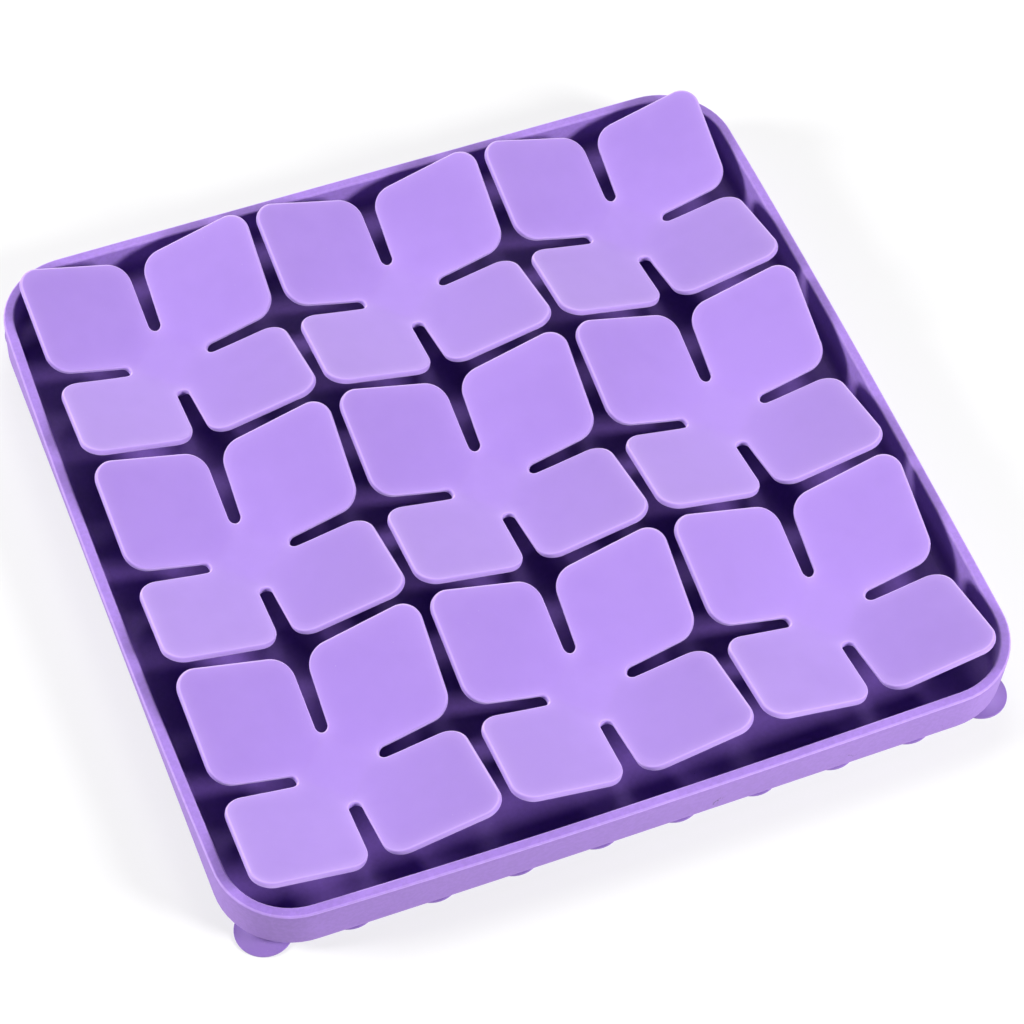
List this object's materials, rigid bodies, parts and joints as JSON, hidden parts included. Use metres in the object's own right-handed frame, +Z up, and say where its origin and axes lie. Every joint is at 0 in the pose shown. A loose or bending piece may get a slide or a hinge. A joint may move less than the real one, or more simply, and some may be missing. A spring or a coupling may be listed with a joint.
{
  "type": "silicone lick mat",
  "caption": "Square silicone lick mat: a walled tray with flower-shaped clusters of sloping petals that bend at their roots to hide food, and suction cups under its floor.",
  "frame": {"origin": "on the table under the middle of the mat, at the level of the suction cups' lips", "axes": "+Z up, +X to the right along the front edge, +Y to the back"},
  "size_m": [0.285, 0.285, 0.0349],
  "materials": {
    "silicone": "matte moulded silicone, lilac"
  },
  "bodies": {
    "mat": {"tray_floor": "silicone", "tray_wall": "silicone", "hub_r1c1": "silicone", "hub_r1c2": "silicone", "hub_r1c3": "silicone", "hub_r2c1": "silicone", "hub_r2c2": "silicone", "hub_r2c3": "silicone", "hub_r3c1": "silicone", "hub_r3c2": "silicone", "hub_r3c3": "silicone", "cup_row_1": "silicone", "cup_row_2": "silicone", "cup_row_3": "silicone", "cup_row_4": "silicone", "cup_row_5": "silicone", "cup_row_6": "silicone", "cup_row_7": "silicone", "cup_row_8": "silicone", "cup_row_9": "silicone", "cup_row_10": "silicone"},
    "petal_r1c1_back_right": {"petal_r1c1_back_right": "silicone"},
    "petal_r1c1_back_left": {"petal_r1c1_back_left": "silicone"},
    "petal_r1c1_front_left": {"petal_r1c1_front_left": "silicone"},
    "petal_r1c1_front_right": {"petal_r1c1_front_right": "silicone"},
    "petal_r1c2_back_right": {"petal_r1c2_back_right": "silicone"},
    "petal_r1c2_back_left": {"petal_r1c2_back_left": "silicone"},
    "petal_r1c2_front_left": {"petal_r1c2_front_left": "silicone"},
    "petal_r1c2_front_right": {"petal_r1c2_front_right": "silicone"},
    "petal_r1c3_back_right": {"petal_r1c3_back_right": "silicone"},
    "petal_r1c3_back_left": {"petal_r1c3_back_left": "silicone"},
    "petal_r1c3_front_left": {"petal_r1c3_front_left": "silicone"},
    "petal_r1c3_front_right": {"petal_r1c3_front_right": "silicone"},
    "petal_r2c1_back_right": {"petal_r2c1_back_right": "silicone"},
    "petal_r2c1_back_left": {"petal_r2c1_back_left": "silicone"},
    "petal_r2c1_front_left": {"petal_r2c1_front_left": "silicone"},
    "petal_r2c1_front_right": {"petal_r2c1_front_right": "silicone"},
    "petal_r2c2_back_right": {"petal_r2c2_back_right": "silicone"},
    "petal_r2c2_back_left": {"petal_r2c2_back_left": "silicone"},
    "petal_r2c2_front_left": {"petal_r2c2_front_left": "silicone"},
    "petal_r2c2_front_right": {"petal_r2c2_front_right": "silicone"},
    "petal_r2c3_back_right": {"petal_r2c3_back_right": "silicone"},
    "petal_r2c3_back_left": {"petal_r2c3_back_left": "silicone"},
    "petal_r2c3_front_left": {"petal_r2c3_front_left": "silicone"},
    "petal_r2c3_front_right": {"petal_r2c3_front_right": "silicone"},
    "petal_r3c1_back_right": {"petal_r3c1_back_right": "silicone"},
    "petal_r3c1_back_left": {"petal_r3c1_back_left": "silicone"},
    "petal_r3c1_front_left": {"petal_r3c1_front_left": "silicone"},
    "petal_r3c1_front_right": {"petal_r3c1_front_right": "silicone"},
    "petal_r3c2_back_right": {"petal_r3c2_back_right": "silicone"},
    "petal_r3c2_back_left": {"petal_r3c2_back_left": "silicone"},
    "petal_r3c2_front_left": {"petal_r3c2_front_left": "silicone"},
    "petal_r3c2_front_right": {"petal_r3c2_front_right": "silicone"},
    "petal_r3c3_back_right": {"petal_r3c3_back_right": "silicone"},
    "petal_r3c3_back_left": {"petal_r3c3_back_left": "silicone"},
    "petal_r3c3_front_left": {"petal_r3c3_front_left": "silicone"},
    "petal_r3c3_front_right": {"petal_r3c3_front_right": "silicone"}
  },
  "joints": [
    {"name": "bend_r1c1_back_right", "type": "hinge", "parent": "mat", "child": "petal_r1c1_back_right", "pos_m": [-0.08035, -0.08035, 0.01568], "axis": [0.7071, -0.7071, 0], "range_deg": [-8, 20], "stiffness_Nm_per_rad": 0.05},
    {"name": "bend_r1c1_back_left", "type": "hinge", "parent": "mat", "child": "petal_r1c1_back_left", "pos_m": [-0.09965, -0.08035, 0.01568], "axis": [0.7071, 0.7071, 0], "range_deg": [-8, 20], "stiffness_Nm_per_rad": 0.05},
    {"name": "bend_r1c1_front_left", "type": "hinge", "parent": "mat", "child": "petal_r1c1_front_left", "pos_m": [-0.09965, -0.09965, 0.01568], "axis": [-0.7071, 0.7071, 0], "range_deg": [-8, 20], "stiffness_Nm_per_rad": 0.05},
    {"name": "bend_r1c1_front_right", "type": "hinge", "parent": "mat", "child": "petal_r1c1_front_right", "pos_m": [-0.08035, -0.09965, 0.01568], "axis": [-0.7071, -0.7071, 0], "range_deg": [-8, 20], "stiffness_Nm_per_rad": 0.05},
    {"name": "bend_r1c2_back_right", "type": "hinge", "parent": "mat", "child": "petal_r1c2_back_right", "pos_m": [0.00965, -0.08035, 0.01568], "axis": [0.7071, -0.7071, 0], "range_deg": [-8, 20], "stiffness_Nm_per_rad": 0.05},
    {"name": "bend_r1c2_back_left", "type": "hinge", "parent": "mat", "child": "petal_r1c2_back_left", "pos_m": [-0.00965, -0.08035, 0.01568], "axis": [0.7071, 0.7071, 0], "range_deg": [-8, 20], "stiffness_Nm_per_rad": 0.05},
    {"name": "bend_r1c2_front_left", "type": "hinge", "parent": "mat", "child": "petal_r1c2_front_left", "pos_m": [-0.00965, -0.09965, 0.01568], "axis": [-0.7071, 0.7071, 0], "range_deg": [-8, 20], "stiffness_Nm_per_rad": 0.05},
    {"name": "bend_r1c2_front_right", "type": "hinge", "parent": "mat", "child": "petal_r1c2_front_right", "pos_m": [0.00965, -0.09965, 0.01568], "axis": [-0.7071, -0.7071, 0], "range_deg": [-8, 20], "stiffness_Nm_per_rad": 0.05},
    {"name": "bend_r1c3_back_right", "type": "hinge", "parent": "mat", "child": "petal_r1c3_back_right", "pos_m": [0.09965, -0.08035, 0.01568], "axis": [0.7071, -0.7071, 0], "range_deg": [-8, 20], "stiffness_Nm_per_rad": 0.05},
    {"name": "bend_r1c3_back_left", "type": "hinge", "parent": "mat", "child": "petal_r1c3_back_left", "pos_m": [0.08035, -0.08035, 0.01568], "axis": [0.7071, 0.7071, 0], "range_deg": [-8, 20], "stiffness_Nm_per_rad": 0.05},
    {"name": "bend_r1c3_front_left", "type": "hinge", "parent": "mat", "child": "petal_r1c3_front_left", "pos_m": [0.08035, -0.09965, 0.01568], "axis": [-0.7071, 0.7071, 0], "range_deg": [-8, 20], "stiffness_Nm_per_rad": 0.05},
    {"name": "bend_r1c3_front_right", "type": "hinge", "parent": "mat", "child": "petal_r1c3_front_right", "pos_m": [0.09965, -0.09965, 0.01568], "axis": [-0.7071, -0.7071, 0], "range_deg": [-8, 20], "stiffness_Nm_per_rad": 0.05},
    {"name": "bend_r2c1_back_right", "type": "hinge", "parent": "mat", "child": "petal_r2c1_back_right", "pos_m": [-0.08035, 0.00965, 0.01568], "axis": [0.7071, -0.7071, 0], "range_deg": [-8, 20], "stiffness_Nm_per_rad": 0.05},
    {"name": "bend_r2c1_back_left", "type": "hinge", "parent": "mat", "child": "petal_r2c1_back_left", "pos_m": [-0.09965, 0.00965, 0.01568], "axis": [0.7071, 0.7071, 0], "range_deg": [-8, 20], "stiffness_Nm_per_rad": 0.05},
    {"name": "bend_r2c1_front_left", "type": "hinge", "parent": "mat", "child": "petal_r2c1_front_left", "pos_m": [-0.09965, -0.00965, 0.01568], "axis": [-0.7071, 0.7071, 0], "range_deg": [-8, 20], "stiffness_Nm_per_rad": 0.05},
    {"name": "bend_r2c1_front_right", "type": "hinge", "parent": "mat", "child": "petal_r2c1_front_right", "pos_m": [-0.08035, -0.00965, 0.01568], "axis": [-0.7071, -0.7071, 0], "range_deg": [-8, 20], "stiffness_Nm_per_rad": 0.05},
    {"name": "bend_r2c2_back_right", "type": "hinge", "parent": "mat", "child": "petal_r2c2_back_right", "pos_m": [0.00965, 0.00965, 0.01568], "axis": [0.7071, -0.7071, 0], "range_deg": [-8, 20], "stiffness_Nm_per_rad": 0.05},
    {"name": "bend_r2c2_back_left", "type": "hinge", "parent": "mat", "child": "petal_r2c2_back_left", "pos_m": [-0.00965, 0.00965, 0.01568], "axis": [0.7071, 0.7071, 0], "range_deg": [-8, 20], "stiffness_Nm_per_rad": 0.05},
    {"name": "bend_r2c2_front_left", "type": "hinge", "parent": "mat", "child": "petal_r2c2_front_left", "pos_m": [-0.00965, -0.00965, 0.01568], "axis": [-0.7071, 0.7071, 0], "range_deg": [-8, 20], "stiffness_Nm_per_rad": 0.05},
    {"name": "bend_r2c2_front_right", "type": "hinge", "parent": "mat", "child": "petal_r2c2_front_right", "pos_m": [0.00965, -0.00965, 0.01568], "axis": [-0.7071, -0.7071, 0], "range_deg": [-8, 20], "stiffness_Nm_per_rad": 0.05},
    {"name": "bend_r2c3_back_right", "type": "hinge", "parent": "mat", "child": "petal_r2c3_back_right", "pos_m": [0.09965, 0.00965, 0.01568], "axis": [0.7071, -0.7071, 0], "range_deg": [-8, 20], "stiffness_Nm_per_rad": 0.05},
    {"name": "bend_r2c3_back_left", "type": "hinge", "parent": "mat", "child": "petal_r2c3_back_left", "pos_m": [0.08035, 0.00965, 0.01568], "axis": [0.7071, 0.7071, 0], "range_deg": [-8, 20], "stiffness_Nm_per_rad": 0.05},
    {"name": "bend_r2c3_front_left", "type": "hinge", "parent": "mat", "child": "petal_r2c3_front_left", "pos_m": [0.08035, -0.00965, 0.01568], "axis": [-0.7071, 0.7071, 0], "range_deg": [-8, 20], "stiffness_Nm_per_rad": 0.05},
    {"name": "bend_r2c3_front_right", "type": "hinge", "parent": "mat", "child": "petal_r2c3_front_right", "pos_m": [0.09965, -0.00965, 0.01568], "axis": [-0.7071, -0.7071, 0], "range_deg": [-8, 20], "stiffness_Nm_per_rad": 0.05},
    {"name": "bend_r3c1_back_right", "type": "hinge", "parent": "mat", "child": "petal_r3c1_back_right", "pos_m": [-0.08035, 0.09965, 0.01568], "axis": [0.7071, -0.7071, 0], "range_deg": [-8, 20], "stiffness_Nm_per_rad": 0.05},
    {"name": "bend_r3c1_back_left", "type": "hinge", "parent": "mat", "child": "petal_r3c1_back_left", "pos_m": [-0.09965, 0.09965, 0.01568], "axis": [0.7071, 0.7071, 0], "range_deg": [-8, 20], "stiffness_Nm_per_rad": 0.05},
    {"name": "bend_r3c1_front_left", "type": "hinge", "parent": "mat", "child": "petal_r3c1_front_left", "pos_m": [-0.09965, 0.08035, 0.01568], "axis": [-0.7071, 0.7071, 0], "range_deg": [-8, 20], "stiffness_Nm_per_rad": 0.05},
    {"name": "bend_r3c1_front_right", "type": "hinge", "parent": "mat", "child": "petal_r3c1_front_right", "pos_m": [-0.08035, 0.08035, 0.01568], "axis": [-0.7071, -0.7071, 0], "range_deg": [-8, 20], "stiffness_Nm_per_rad": 0.05},
    {"name": "bend_r3c2_back_right", "type": "hinge", "parent": "mat", "child": "petal_r3c2_back_right", "pos_m": [0.00965, 0.09965, 0.01568], "axis": [0.7071, -0.7071, 0], "range_deg": [-8, 20], "stiffness_Nm_per_rad": 0.05},
    {"name": "bend_r3c2_back_left", "type": "hinge", "parent": "mat", "child": "petal_r3c2_back_left", "pos_m": [-0.00965, 0.09965, 0.01568], "axis": [0.7071, 0.7071, 0], "range_deg": [-8, 20], "stiffness_Nm_per_rad": 0.05},
    {"name": "bend_r3c2_front_left", "type": "hinge", "parent": "mat", "child": "petal_r3c2_front_left", "pos_m": [-0.00965, 0.08035, 0.01568], "axis": [-0.7071, 0.7071, 0], "range_deg": [-8, 20], "stiffness_Nm_per_rad": 0.05},
    {"name": "bend_r3c2_front_right", "type": "hinge", "parent": "mat", "child": "petal_r3c2_front_right", "pos_m": [0.00965, 0.08035, 0.01568], "axis": [-0.7071, -0.7071, 0], "range_deg": [-8, 20], "stiffness_Nm_per_rad": 0.05},
    {"name": "bend_r3c3_back_right", "type": "hinge", "parent": "mat", "child": "petal_r3c3_back_right", "pos_m": [0.09965, 0.09965, 0.01568], "axis": [0.7071, -0.7071, 0], "range_deg": [-8, 20], "stiffness_Nm_per_rad": 0.05},
    {"name": "bend_r3c3_back_left", "type": "hinge", "parent": "mat", "child": "petal_r3c3_back_left", "pos_m": [0.08035, 0.09965, 0.01568], "axis": [0.7071, 0.7071, 0], "range_deg": [-8, 20], "stiffness_Nm_per_rad": 0.05},
    {"name": "bend_r3c3_front_left", "type": "hinge", "parent": "mat", "child": "petal_r3c3_front_left", "pos_m": [0.08035, 0.08035, 0.01568], "axis": [-0.7071, 0.7071, 0], "range_deg": [-8, 20], "stiffness_Nm_per_rad": 0.05},
    {"name": "bend_r3c3_front_right", "type": "hinge", "parent": "mat", "child": "petal_r3c3_front_right", "pos_m": [0.09965, 0.08035, 0.01568], "axis": [-0.7071, -0.7071, 0], "range_deg": [-8, 20], "stiffness_Nm_per_rad": 0.05}
  ]
}
